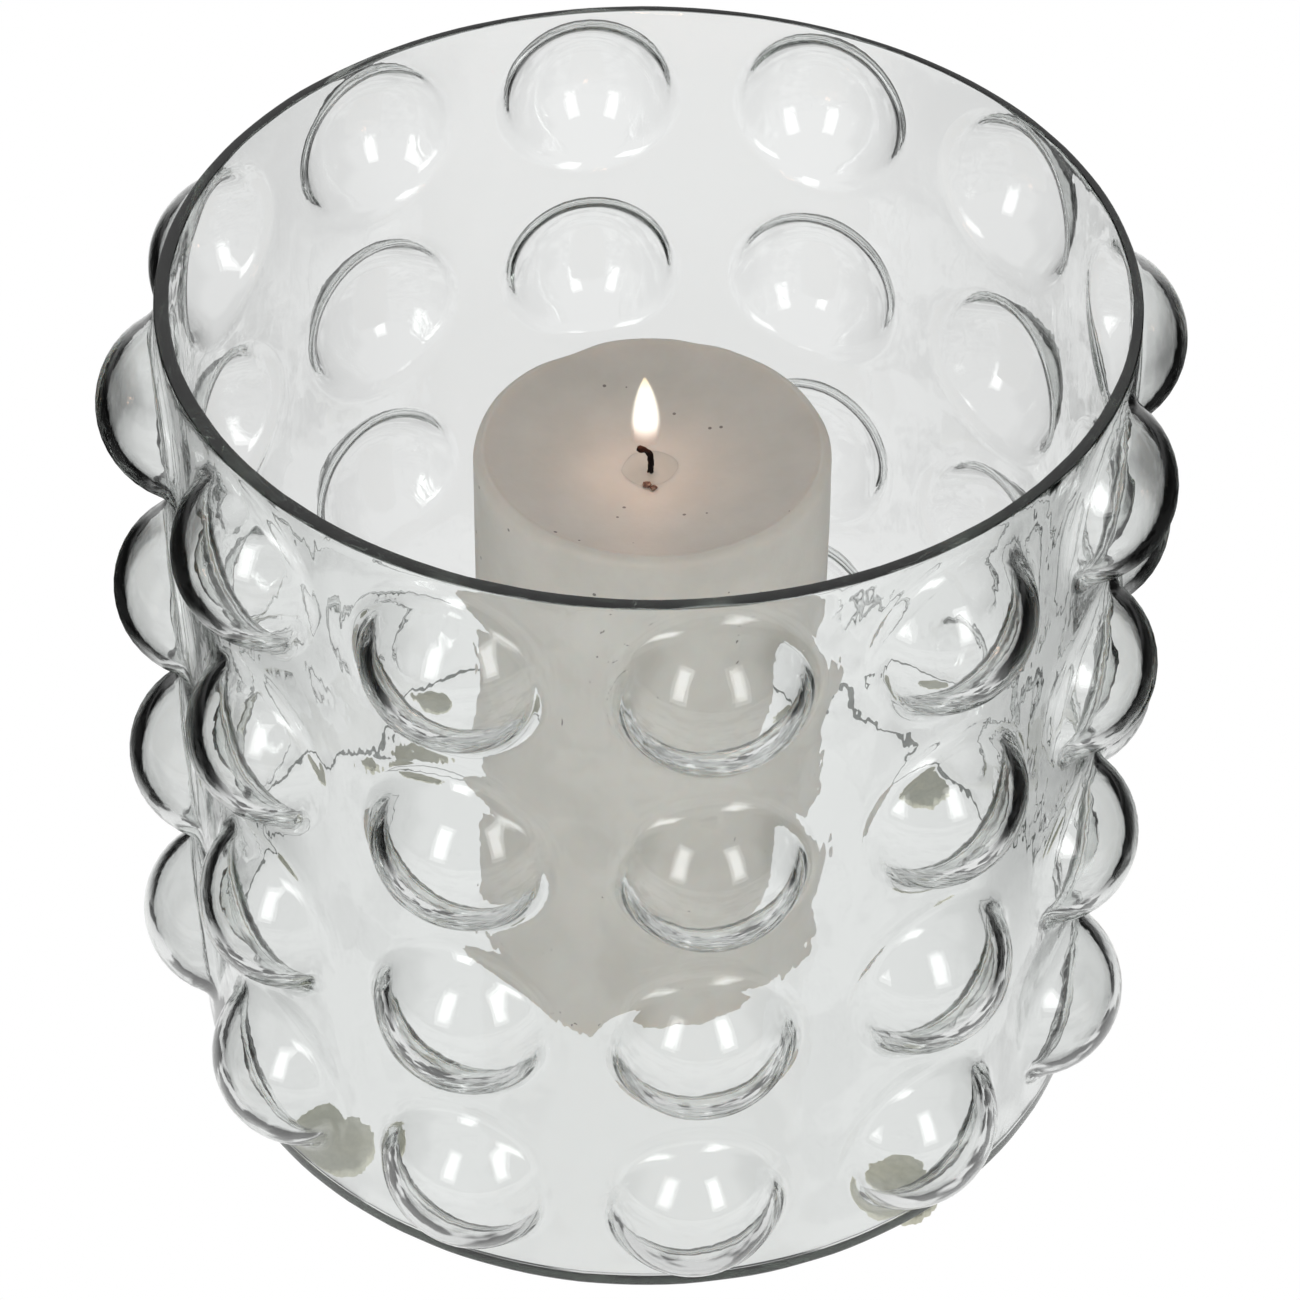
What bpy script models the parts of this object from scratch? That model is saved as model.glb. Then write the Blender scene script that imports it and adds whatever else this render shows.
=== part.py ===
"""A hurricane candle lantern: a mould-blown cylinder of clear glass whose wall is
puffed out into twelve columns of four hollow bubbles, four stick-on pads under its
base, and a pillar candle that stands loose on the glass floor and lifts out.

Metres, +Z up. The origin is the centre of the circle that the pads rest on. A
column of bubbles faces -Y."""

import math

import bmesh
import bpy
from mathutils import Matrix

# ---- driving dimensions ------------------------------------------------------
GLASS_RADIUS = 0.0933  # outside of the plain wall, between the bubbles
GLASS_HEIGHT = 0.1810  # underside of the glass to the rim
WALL = 0.0028
FLOOR = 0.0024
HEEL_RADIUS = 0.0015  # rounding between wall and underside
CORNER_RADIUS = 0.0015  # rounding between wall and inside floor
RIM_RADIUS = 0.0007  # fire-polished edge of the rim
WALL_STEPS = 36

BUBBLE_COLUMNS = 12
BUBBLE_RADIUS = 0.0190  # each bubble is the cap of a sphere of this radius
BUBBLE_CENTRE = 0.0866  # distance of the sphere's centre from the glass's axis
BUBBLE_WALL = 0.0027  # nearly as thick as the plain wall
BUBBLE_FIRST_ROW = 0.0254  # above the underside of the glass
BUBBLE_ROW_STEP = 0.0447
BUBBLE_ROWS = 4

PAD_RADIUS = 0.0090
PAD_HEIGHT = 0.0025
# Each pad's distance from the axis and its azimuth: they are stuck on by eye, and the
# front right one shows a little beyond the edge of the base.
PADS = (
    ("pad_front_left", 0.0825, -147.0),
    ("pad_front_right", 0.0848, -59.0),
    ("pad_back_right", 0.0825, 33.0),
    ("pad_back_left", 0.0825, 123.0),
)

CANDLE_X = 0.0024  # the candle stands a little behind the middle of the floor
CANDLE_Y = 0.0096
CANDLE_RADIUS = 0.0356
CANDLE_HEIGHT = 0.1311
SHOULDER = 0.0022  # rounding of the candle's upper edge
DISH_RADIUS = 0.0332  # burning has hollowed the top into a shallow dish
DISH_DEPTH = 0.0060
CANDLE_STEPS = 40

WICK_OFF_X = -0.0008  # the wick stands a little off the candle's own axis
WICK_OFF_Y = -0.0018
WICK_RADIUS = 0.00070
WICK_STRAIGHT = 0.0048  # charred length that stands straight over the wax
WICK_BEND_RADIUS = 0.0021  # then the tip bends over sideways
WICK_BEND = 76.0
WICK_TIP = 0.0011
WICK_CURL_AZIMUTH = 172.3

SUSTAINER_RADIUS = 0.0100
SUSTAINER_SHEET = 0.0005
SUSTAINER_NECK_RADIUS = 0.0019
SUSTAINER_NECK = 0.0055

GAP = 0.0003  # clearance between pieces that touch

# ---- derived heights ---------------------------------------------------------
GLASS_BASE = PAD_HEIGHT + GAP
RIM = GLASS_BASE + GLASS_HEIGHT
FLOOR_TOP = GLASS_BASE + FLOOR
CANDLE_BASE = FLOOR_TOP + GAP
CANDLE_TOP = CANDLE_BASE + CANDLE_HEIGHT
DISH_FLOOR = CANDLE_TOP - DISH_DEPTH


# ---- helpers -----------------------------------------------------------------
def clear_scene():
    for obj in list(bpy.data.objects):
        bpy.data.objects.remove(obj, do_unlink=True)


def new_collection(name, hidden=False):
    collection = bpy.data.collections.new(name)
    bpy.context.scene.collection.children.link(collection)
    collection.hide_render = hidden
    return collection


def material(name, colour, roughness, metallic=0.0, transmission=0.0, alpha=1.0):
    mat = bpy.data.materials.new(name)
    mat.use_nodes = True
    shader = mat.node_tree.nodes["Principled BSDF"]
    shader.inputs["Base Color"].default_value = (*colour, 1.0)
    shader.inputs["Roughness"].default_value = roughness
    shader.inputs["Metallic"].default_value = metallic
    shader.inputs["Transmission Weight"].default_value = transmission
    shader.inputs["Alpha"].default_value = alpha
    mat.diffuse_color = (*colour, alpha)
    return mat


def smooth(obj, angle=35.0):
    obj.data.shade_smooth()
    obj.data.set_sharp_from_angle(angle=math.radians(angle))


def link(obj, collection, mat=None):
    collection.objects.link(obj)
    if mat is not None:
        obj.data.materials.append(mat)
    if collection.hide_render:
        obj.hide_render = True
        obj.display_type = "WIRE"
    return obj


def arc(cx, cz, radius, start, end, count):
    """Points of a circular arc in the profile plane, angles in degrees."""
    points = []
    for i in range(count + 1):
        a = math.radians(start + (end - start) * i / count)
        points.append((cx + radius * math.cos(a), cz + radius * math.sin(a)))
    return points


def turned(name, profile, steps, collection, mat=None, closed=False):
    """A solid of revolution about Z from (radius, height) points."""
    mesh = bpy.data.meshes.new(name)
    edges = [(i, i + 1) for i in range(len(profile) - 1)]
    if closed:
        edges.append((len(profile) - 1, 0))
    mesh.from_pydata([(r, 0.0, z) for r, z in profile], edges, [])
    obj = link(bpy.data.objects.new(name, mesh), collection, mat)
    screw = obj.modifiers.new("Turn", "SCREW")
    screw.axis = "Z"
    screw.steps = steps
    screw.render_steps = steps
    screw.use_merge_vertices = True
    screw.merge_threshold = 0.00001
    screw.use_smooth_shade = True
    return obj


def bubbles(name, radius, segments, rings, collection):
    """One sphere at each bubble, its pole pointing straight out of the wall."""
    bm = bmesh.new()
    for column in range(BUBBLE_COLUMNS):
        azimuth = math.radians(-90.0 + column * 360.0 / BUBBLE_COLUMNS)
        for row in range(BUBBLE_ROWS):
            height = GLASS_BASE + BUBBLE_FIRST_ROW + row * BUBBLE_ROW_STEP
            place = (
                Matrix.Rotation(azimuth, 4, "Z")
                @ Matrix.Translation((BUBBLE_CENTRE, 0.0, height))
                @ Matrix.Rotation(math.radians(90.0), 4, "Y")
            )
            bmesh.ops.create_uvsphere(
                bm, u_segments=segments, v_segments=rings, radius=radius, matrix=place
            )
    mesh = bpy.data.meshes.new(name)
    bm.to_mesh(mesh)
    bm.free()
    return link(bpy.data.objects.new(name, mesh), collection)


def boolean(obj, name, operation, other):
    modifier = obj.modifiers.new(name, "BOOLEAN")
    modifier.operation = operation
    modifier.solver = "EXACT"
    modifier.object = other
    return modifier


# ---- the bubble glass --------------------------------------------------------
def build_glass(parts, cutters, mat):
    """The full outside is made solid first, then the inside is taken out of it, so
    that every bubble is hollow and opens to the inside of the glass."""
    outside = [(0.0, RIM)]
    outside += arc(
        GLASS_RADIUS - RIM_RADIUS, RIM - RIM_RADIUS, RIM_RADIUS, 90.0, 0.0, 2
    )
    outside += arc(
        GLASS_RADIUS - HEEL_RADIUS, GLASS_BASE + HEEL_RADIUS, HEEL_RADIUS, 0.0, -90.0, 3
    )
    outside.append((0.0, GLASS_BASE))
    glass = turned("bubble_glass", outside, WALL_STEPS, parts, mat)

    inner = GLASS_RADIUS - WALL
    corner = CORNER_RADIUS
    cavity_profile = [(0.0, RIM + 0.010), (inner, RIM + 0.010)]
    cavity_profile += arc(inner - corner, FLOOR_TOP + corner, corner, 0.0, -90.0, 3)
    cavity_profile.append((0.0, FLOOR_TOP))
    cavity = turned("cavity_cutter", cavity_profile, WALL_STEPS, cutters)

    domes = bubbles("bubble_outsides", BUBBLE_RADIUS, 12, 8, cutters)
    hollows = bubbles("bubble_insides", BUBBLE_RADIUS - BUBBLE_WALL, 10, 8, cutters)

    boolean(glass, "Bubbles", "UNION", domes)
    boolean(glass, "Inside", "DIFFERENCE", cavity)
    boolean(glass, "Bubble hollows", "DIFFERENCE", hollows)
    return glass


# ---- the pads under the base -------------------------------------------------
def build_pads(parts, mat):
    edge = 0.0006
    profile = [(0.0, PAD_HEIGHT)]
    profile += arc(PAD_RADIUS - edge, PAD_HEIGHT - edge, edge, 90.0, 0.0, 2)
    profile += arc(PAD_RADIUS - edge, edge, edge, 0.0, -90.0, 2)
    profile.append((0.0, 0.0))
    for name, reach, azimuth in PADS:
        a = math.radians(azimuth)
        pad = turned(name, profile, 20, parts, mat)
        pad.location = (reach * math.cos(a), reach * math.sin(a), 0.0)


# ---- the candle --------------------------------------------------------------
def dish_height(radius):
    """Height of the burnt-out dish: flat in the middle, rising towards the edge."""
    t = min(1.0, radius / DISH_RADIUS)
    return DISH_FLOOR + (DISH_DEPTH - 0.0004) * t**2.2


def build_candle(parts, cutters, wax_mat, wick_mat, tin_mat):
    axis = bpy.data.objects.new("candle_axis", None)
    axis.location = (CANDLE_X, CANDLE_Y, CANDLE_BASE)
    parts.objects.link(axis)

    wick_axis = bpy.data.objects.new("wick_axis", None)
    wick_axis.location = (WICK_OFF_X, WICK_OFF_Y, 0.0)
    wick_axis.parent = axis
    parts.objects.link(wick_axis)

    base = -CANDLE_BASE  # the pieces are drawn about the empty's own origin
    top = CANDLE_TOP + base
    profile = [(0.0, dish_height(0.0) + base)]
    for i in range(1, 9):
        r = DISH_RADIUS * i / 8
        profile.append((r, dish_height(r) + base))
    profile += arc(CANDLE_RADIUS - SHOULDER, top - SHOULDER, SHOULDER, 84.0, 0.0, 4)
    profile += arc(CANDLE_RADIUS - 0.0010, 0.0010, 0.0010, 0.0, -90.0, 2)
    profile.append((0.0, 0.0))
    wax = turned("candle_wax", profile, CANDLE_STEPS, parts, wax_mat)
    wax.parent = axis

    # One stepped bore through the wax: the wick's hole above, the sustainer's
    # neck in the middle and the recess for its plate at the base.
    bore = WICK_RADIUS + GAP
    neck = SUSTAINER_NECK_RADIUS + GAP
    plate = SUSTAINER_RADIUS + GAP
    recess = GAP + SUSTAINER_SHEET + GAP
    neck_top = GAP + SUSTAINER_NECK + GAP
    stepped = [
        (0.0, top),
        (bore, top),
        (bore, neck_top),
        (neck, neck_top),
        (neck, recess),
        (plate, recess),
        (plate, -0.001),
        (0.0, -0.001),
    ]
    cutter = turned("wick_bore_cutter", stepped, 24, cutters)
    cutter.location = (CANDLE_X + WICK_OFF_X, CANDLE_Y + WICK_OFF_Y, CANDLE_BASE)
    boolean(wax, "Wick bore", "DIFFERENCE", cutter)

    low = GAP
    bore = WICK_RADIUS + GAP
    disc = [
        (bore, low + SUSTAINER_NECK),
        (SUSTAINER_NECK_RADIUS, low + SUSTAINER_NECK),
        (SUSTAINER_NECK_RADIUS, low + SUSTAINER_SHEET),
        (SUSTAINER_RADIUS, low + SUSTAINER_SHEET),
        (SUSTAINER_RADIUS, low),
        (bore, low),
    ]
    sustainer = turned("wick_sustainer", disc, 24, parts, tin_mat, closed=True)
    sustainer.parent = wick_axis

    # The wick runs straight up the wax, stands over it, then bends sideways.
    lean = math.radians(WICK_CURL_AZIMUTH)
    start = low + 0.0002
    wax_level = DISH_FLOOR + base
    bend_level = wax_level + WICK_STRAIGHT
    points = [(0.0, start + (wax_level - start) * i / 4) for i in range(5)]
    points.append((0.0, wax_level + WICK_STRAIGHT / 2))
    for i in range(7):
        a = math.radians(WICK_BEND * i / 6)
        points.append(
            (
                WICK_BEND_RADIUS * (1.0 - math.cos(a)),
                bend_level + WICK_BEND_RADIUS * math.sin(a),
            )
        )
    over, level = points[-1]
    points.append((over + WICK_TIP * math.sin(a), level + WICK_TIP * math.cos(a)))
    curve = bpy.data.curves.new("wick", "CURVE")
    curve.dimensions = "3D"
    curve.bevel_depth = WICK_RADIUS
    curve.bevel_resolution = 2
    curve.use_fill_caps = True
    spline = curve.splines.new("POLY")
    spline.points.add(len(points) - 1)
    for point, (over, z) in zip(spline.points, points):
        point.co = (over * math.cos(lean), over * math.sin(lean), z, 1.0)
    wick = link(bpy.data.objects.new("wick", curve), parts, wick_mat)
    wick.parent = wick_axis
    return wax


def main():
    clear_scene()
    parts = new_collection("hurricane_candle_lantern")
    cutters = new_collection("cutters", hidden=True)
    clear_glass = material("clear_glass", (0.94, 0.96, 0.96), 0.03, 0.0, 1.0, 0.35)
    pad_foam = material("pad_foam", (0.42, 0.42, 0.33), 0.85)
    white_wax = material("white_wax", (0.78, 0.76, 0.71), 0.45)
    charred = material("charred_cotton", (0.045, 0.03, 0.025), 0.9)
    tin = material("tinned_steel", (0.72, 0.72, 0.72), 0.35, 1.0)
    build_glass(parts, cutters, clear_glass)
    build_pads(parts, pad_foam)
    build_candle(parts, cutters, white_wax, charred, tin)


main()
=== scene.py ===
"""The looks of the hurricane candle lantern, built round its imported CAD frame."""

import math

import bmesh
import bpy
import numpy as np
from mathutils import Matrix, Vector, noise


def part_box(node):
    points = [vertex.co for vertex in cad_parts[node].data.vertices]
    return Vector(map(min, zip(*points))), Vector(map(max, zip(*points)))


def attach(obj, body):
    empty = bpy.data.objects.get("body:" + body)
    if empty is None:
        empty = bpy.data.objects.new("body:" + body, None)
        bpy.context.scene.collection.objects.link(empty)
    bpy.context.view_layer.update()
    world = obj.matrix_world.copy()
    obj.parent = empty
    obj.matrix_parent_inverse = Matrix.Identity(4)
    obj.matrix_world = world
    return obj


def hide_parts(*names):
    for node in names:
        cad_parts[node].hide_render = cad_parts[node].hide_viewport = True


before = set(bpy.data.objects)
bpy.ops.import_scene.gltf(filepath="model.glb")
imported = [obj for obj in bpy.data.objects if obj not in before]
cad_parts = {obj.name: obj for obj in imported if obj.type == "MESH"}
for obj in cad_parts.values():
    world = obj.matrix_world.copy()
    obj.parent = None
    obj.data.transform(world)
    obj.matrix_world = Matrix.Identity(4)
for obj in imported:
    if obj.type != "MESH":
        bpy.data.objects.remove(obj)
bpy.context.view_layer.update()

# ---- the frame's own measures ---------------------------------------------------
GLASS_LOW, GLASS_HIGH = [Vector(v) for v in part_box("bubble_glass")]
WAX_LOW, WAX_HIGH = [Vector(v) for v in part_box("candle_wax")]
WICK_LOW, WICK_HIGH = [Vector(v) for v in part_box("wick")]

BASE = GLASS_LOW.z
RIM = GLASS_HIGH.z
APEX = GLASS_HIGH.x
R_OUT = 0.0933
WALL = 0.0028
R_IN = R_OUT - WALL
FLOOR_TOP = BASE + 0.0024
EDGE_TOP = BASE + 0.0015  # the floor thins a little where it meets the wall
HEEL = 0.0015
CORNER = 0.0015
RIM_EDGE = 0.0004
COLUMNS, ROWS = 12, 4
ROW_FIRST, ROW_STEP = 0.0254, 0.0447
SPHERE = 0.0190
CENTRE_R = 0.0866
BALL = 0.0038  # the ball that would just roll round a bubble's foot
DOME = 0.0028  # glass thickness over a bubble
# how far a bubble strayed, sideways and up, by its column from the front and its row
STRAY = {(0, 0): (-0.0012, -0.0009), (0, 3): (0.0003, 0.0007)}
GLASS_TINT = (0.976, 0.985, 0.981)
SOFT_FLOOR, SOFT_ROOM = 1.00, 0.43
HEEL_SHADE_LINE = 0.0014  # how far the painted shade line climbs from the underside

AXIS = Vector(((WAX_LOW.x + WAX_HIGH.x) / 2, (WAX_LOW.y + WAX_HIGH.y) / 2, 0.0))
TIN_LOW, TIN_HIGH = [Vector(v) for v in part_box("wick_sustainer")]
WICK = Vector(((TIN_LOW.x + TIN_HIGH.x) / 2, (TIN_LOW.y + TIN_HIGH.y) / 2, 0.0))
WAX_R = (WAX_HIGH.x - WAX_LOW.x) / 2
DISH_R, DISH_DEPTH = 0.0332, 0.0060
DISH_FLOOR = WAX_HIGH.z - DISH_DEPTH


# ---- small helpers --------------------------------------------------------------
def new_object(name, verts, faces, smooth=True):
    mesh = bpy.data.meshes.new(name)
    mesh.from_pydata([tuple(v) for v in verts], [], [tuple(f) for f in faces])
    mesh.validate()
    if smooth:
        mesh.shade_smooth()
    obj = bpy.data.objects.new(name, mesh)
    bpy.context.scene.collection.objects.link(obj)
    return obj


def face_out(obj):
    bm = bmesh.new()
    bm.from_mesh(obj.data)
    bmesh.ops.remove_doubles(bm, verts=bm.verts[:], dist=2e-7)
    bmesh.ops.recalc_face_normals(bm, faces=bm.faces[:])
    bm.to_mesh(obj.data)
    bm.free()
    obj.data.shade_smooth()
    return obj


def lathe(name, profile, steps, place=(0.0, 0.0, 0.0)):
    """A closed turned solid from (radius, height) points, first and last on the axis."""
    profile = list(profile)
    verts, faces, rings = [], [], []
    for r, z in profile:
        if r < 1e-9:
            rings.append([len(verts)])
            verts.append((place[0], place[1], place[2] + z))
            continue
        ring = []
        for k in range(steps):
            a = 2 * math.pi * k / steps
            ring.append(len(verts))
            verts.append(
                (place[0] + r * math.cos(a), place[1] + r * math.sin(a), place[2] + z)
            )
        rings.append(ring)
    for a, b in zip(rings, rings[1:]):
        for k in range(steps):
            n = (k + 1) % steps
            if len(a) == 1:
                faces.append((a[0], b[k], b[n]))
            elif len(b) == 1:
                faces.append((a[k], b[0], a[n]))
            else:
                faces.append((a[k], b[k], b[n], a[n]))
    return face_out(new_object(name, verts, faces))


def arc(cx, cz, radius, start, end, count):
    return [
        (
            cx + radius * math.cos(math.radians(start + (end - start) * i / count)),
            cz + radius * math.sin(math.radians(start + (end - start) * i / count)),
        )
        for i in range(count + 1)
    ]


def ripple(p, scale, seed):
    return noise.noise(Vector((p[0] * scale + seed, p[1] * scale, p[2] * scale)))


# ---- materials ------------------------------------------------------------------
def material(name):
    mat = bpy.data.materials.new(name)
    mat.use_nodes = True
    tree = mat.node_tree
    return mat, tree, tree.nodes["Principled BSDF"]


def node(tree, kind, **settings):
    made = tree.nodes.new(kind)
    for key, value in settings.items():
        if key in ("operation", "data_type", "blend_type", "feature", "noise_dimensions", "wave_type", "bands_direction", "rings_direction", "interpolation"):
            setattr(made, key, value)
        else:
            made.inputs[key.replace("_", " ")].default_value = value
    return made


def ramp(tree, source, stops, interpolation="LINEAR"):
    made = tree.nodes.new("ShaderNodeValToRGB")
    made.color_ramp.interpolation = interpolation
    while len(made.color_ramp.elements) < len(stops):
        made.color_ramp.elements.new(0.5)
    for element, (at, colour) in zip(made.color_ramp.elements, stops):
        element.position = at
        element.color = colour if len(colour) == 4 else (*colour, 1.0)
    tree.links.new(source, made.inputs["Fac"])
    return made.outputs["Color"]


def mixed(tree, factor, a, b, kind="MIX"):
    made = tree.nodes.new("ShaderNodeMix")
    made.data_type = "RGBA"
    made.blend_type = kind
    for socket, value in ((made.inputs[0], factor), (made.inputs[6], a), (made.inputs[7], b)):
        if hasattr(value, "links") or isinstance(value, bpy.types.NodeSocket):
            tree.links.new(value, socket)
        else:
            socket.default_value = value if not isinstance(value, tuple) or len(value) == 4 else (*value, 1.0)
    return made.outputs[2]


def object_coords(tree):
    return tree.nodes.new("ShaderNodeTexCoord").outputs["Object"]


def glass_material():
    """Clear glass with a slight green in its depth, and a painted shade line along the top
    of the rim, standing in for the dark of a thick cut edge that leads light away down the wall."""
    mat, tree, shader = material("clear_glass")
    shader.inputs["Roughness"].default_value = 0.0
    shader.inputs["IOR"].default_value = 1.52
    shader.inputs["Transmission Weight"].default_value = 1.0
    coords = object_coords(tree)
    height = tree.nodes.new("ShaderNodeSeparateXYZ")
    tree.links.new(coords, height.inputs["Vector"])
    # painted shade: the glass colour turns dark in the last fraction of a millimetre below the rim
    rim_shade_mask = node(tree, "ShaderNodeMapRange")
    rim_shade_mask.inputs["From Min"].default_value = RIM - 0.00042
    rim_shade_mask.inputs["From Max"].default_value = RIM - 0.00022
    tree.links.new(height.outputs["Z"], rim_shade_mask.inputs["Value"])
    patch = node(tree, "ShaderNodeTexNoise", Scale=14.0, Detail=1.0, Roughness=0.4)
    tree.links.new(coords, patch.inputs["Vector"])
    # the painted rim shade is a little lighter at the front
    gap = node(tree, "ShaderNodeVectorMath", operation="DISTANCE")
    gap.inputs[1].default_value = (-0.008, -0.0925, RIM)
    tree.links.new(coords, gap.inputs[0])
    # the painted rim shade: near black, with lighter stretches of painted reflection
    edge = ramp(
        tree,
        calc(tree, "ADD", patch.outputs["Fac"], between(tree, gap.outputs["Value"], 0.010, 0.034, 0.13, 0.0)),
        [(0.34, (0.035, 0.040, 0.037)), (0.50, (0.080, 0.088, 0.081)), (0.65, (0.34, 0.37, 0.34))],
    )
    colour = mixed(tree, rim_shade_mask.outputs["Result"], GLASS_TINT, edge)
    # the same painted shade, a dark line painted round the heel where the wall turns under the base
    flat = node(tree, "ShaderNodeVectorMath", operation="MULTIPLY")
    flat.inputs[1].default_value = (1.0, 1.0, 0.0)
    tree.links.new(coords, flat.inputs[0])
    reach = tree.nodes.new("ShaderNodeVectorMath")
    reach.operation = "LENGTH"
    tree.links.new(flat.outputs["Vector"], reach.inputs[0])
    outside = between(tree, reach.outputs["Value"], R_OUT - 0.0013, R_OUT - 0.0011, 0.0, 1.0)
    low = between(tree, height.outputs["Z"], BASE + HEEL_SHADE_LINE - 0.0002, BASE + HEEL_SHADE_LINE + 0.0001, 1.0, 0.0)
    colour = mixed(tree, calc(tree, "MULTIPLY", outside, low), colour, (0.045, 0.050, 0.046))
    tree.links.new(colour, shader.inputs["Base Color"])
    broad = node(tree, "ShaderNodeTexNoise", Scale=38.0, Detail=2.0, Roughness=0.45)
    stretch = node(tree, "ShaderNodeVectorMath", operation="MULTIPLY")
    stretch.inputs[1].default_value = (1.0, 1.0, 0.45)
    tree.links.new(coords, stretch.inputs[0])
    fine = node(tree, "ShaderNodeTexNoise", Scale=260.0, Detail=2.0, Roughness=0.5)
    tree.links.new(coords, broad.inputs["Vector"])
    tree.links.new(stretch.outputs["Vector"], fine.inputs["Vector"])
    bump = node(tree, "ShaderNodeBump", Strength=0.12, Distance=0.0012)
    tree.links.new(broad.outputs["Fac"], bump.inputs["Height"])
    bump2 = node(tree, "ShaderNodeBump", Strength=0.10, Distance=0.0004)
    tree.links.new(fine.outputs["Fac"], bump2.inputs["Height"])
    tree.links.new(bump.outputs["Normal"], bump2.inputs["Normal"])
    tree.links.new(bump2.outputs["Normal"], shader.inputs["Normal"])
    absorb = tree.nodes.new("ShaderNodeVolumeAbsorption")
    absorb.inputs["Color"].default_value = (0.40, 0.46, 0.41, 1.0)
    absorb.inputs["Density"].default_value = 22.0
    tree.links.new(
        absorb.outputs["Volume"], tree.nodes["Material Output"].inputs["Volume"]
    )
    return mat


def wax_material():
    mat, tree, shader = material("white_wax")
    coords = object_coords(tree)
    cloud = node(tree, "ShaderNodeTexNoise", Scale=45.0, Detail=5.0, Roughness=0.6)
    tree.links.new(coords, cloud.inputs["Vector"])
    tone = ramp(
        tree,
        cloud.outputs["Fac"],
        [(0.32, (0.565, 0.545, 0.495)), (0.68, (0.65, 0.63, 0.58))],
    )
    # Specks of soot and dust: a few of many small cells hold one.
    specks = []
    for scale, size, share in ((460.0, 0.17, 0.968), (210.0, 0.10, 0.955)):
        cells = node(tree, "ShaderNodeTexVoronoi", Scale=scale, Randomness=1.0)
        tree.links.new(coords, cells.inputs["Vector"])
        spot = node(tree, "ShaderNodeMath", operation="LESS_THAN")
        spot.inputs[1].default_value = size
        tree.links.new(cells.outputs["Distance"], spot.inputs[0])
        split = tree.nodes.new("ShaderNodeSeparateColor")
        tree.links.new(cells.outputs["Color"], split.inputs["Color"])
        some = node(tree, "ShaderNodeMath", operation="GREATER_THAN")
        some.inputs[1].default_value = share
        tree.links.new(split.outputs[0], some.inputs[0])
        both = node(tree, "ShaderNodeMath", operation="MULTIPLY")
        tree.links.new(spot.outputs[0], both.inputs[0])
        tree.links.new(some.outputs[0], both.inputs[1])
        specks.append(both.outputs[0])
    any_speck = node(tree, "ShaderNodeMath", operation="MAXIMUM")
    tree.links.new(specks[0], any_speck.inputs[0])
    tree.links.new(specks[1], any_speck.inputs[1])
    shade = node(tree, "ShaderNodeMath", operation="MULTIPLY")
    shade.inputs[1].default_value = 0.80
    tree.links.new(any_speck.outputs[0], shade.inputs[0])
    colour = mixed(tree, shade.outputs[0], tone, (0.10, 0.08, 0.07))
    tree.links.new(colour, shader.inputs["Base Color"])
    rough = ramp(tree, cloud.outputs["Fac"], [(0.3, (0.42, 0.42, 0.42)), (0.7, (0.56, 0.56, 0.56))])
    tree.links.new(rough, shader.inputs["Roughness"])
    shader.inputs["Subsurface Weight"].default_value = 0.55
    shader.inputs["Subsurface Radius"].default_value = (1.0, 0.62, 0.42)
    shader.inputs["Subsurface Scale"].default_value = 0.008
    shader.inputs["IOR"].default_value = 1.44
    shader.inputs["Coat Weight"].default_value = 0.06
    shader.inputs["Coat Roughness"].default_value = 0.3
    grain = node(tree, "ShaderNodeTexNoise", Scale=900.0, Detail=3.0, Roughness=0.6)
    tree.links.new(coords, grain.inputs["Vector"])
    bump = node(tree, "ShaderNodeBump", Strength=0.22, Distance=0.00025)
    tree.links.new(grain.outputs["Fac"], bump.inputs["Height"])
    dents = node(tree, "ShaderNodeTexNoise", Scale=160.0, Detail=2.0, Roughness=0.5)
    tree.links.new(coords, dents.inputs["Vector"])
    bump2 = node(tree, "ShaderNodeBump", Strength=0.25, Distance=0.0008)
    tree.links.new(dents.outputs["Fac"], bump2.inputs["Height"])
    tree.links.new(bump.outputs["Normal"], bump2.inputs["Normal"])
    tree.links.new(bump2.outputs["Normal"], shader.inputs["Normal"])
    return mat


def pool_material():
    mat, tree, shader = material("molten_wax")
    coords = object_coords(tree)
    swirl = node(tree, "ShaderNodeTexNoise", Scale=140.0, Detail=2.0)
    tree.links.new(coords, swirl.inputs["Vector"])
    tone = ramp(
        tree, swirl.outputs["Fac"], [(0.3, (0.50, 0.485, 0.435)), (0.7, (0.56, 0.54, 0.49))]
    )
    tree.links.new(tone, shader.inputs["Base Color"])
    shader.inputs["Roughness"].default_value = 0.03
    shader.inputs["IOR"].default_value = 1.43
    shader.inputs["Coat Weight"].default_value = 0.25
    shader.inputs["Coat Roughness"].default_value = 0.02
    shader.inputs["Subsurface Weight"].default_value = 0.4
    shader.inputs["Subsurface Radius"].default_value = (1.0, 0.62, 0.42)
    shader.inputs["Subsurface Scale"].default_value = 0.004
    bump = node(tree, "ShaderNodeBump", Strength=0.05, Distance=0.0003)
    tree.links.new(swirl.outputs["Fac"], bump.inputs["Height"])
    tree.links.new(bump.outputs["Normal"], shader.inputs["Normal"])
    return mat


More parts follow.
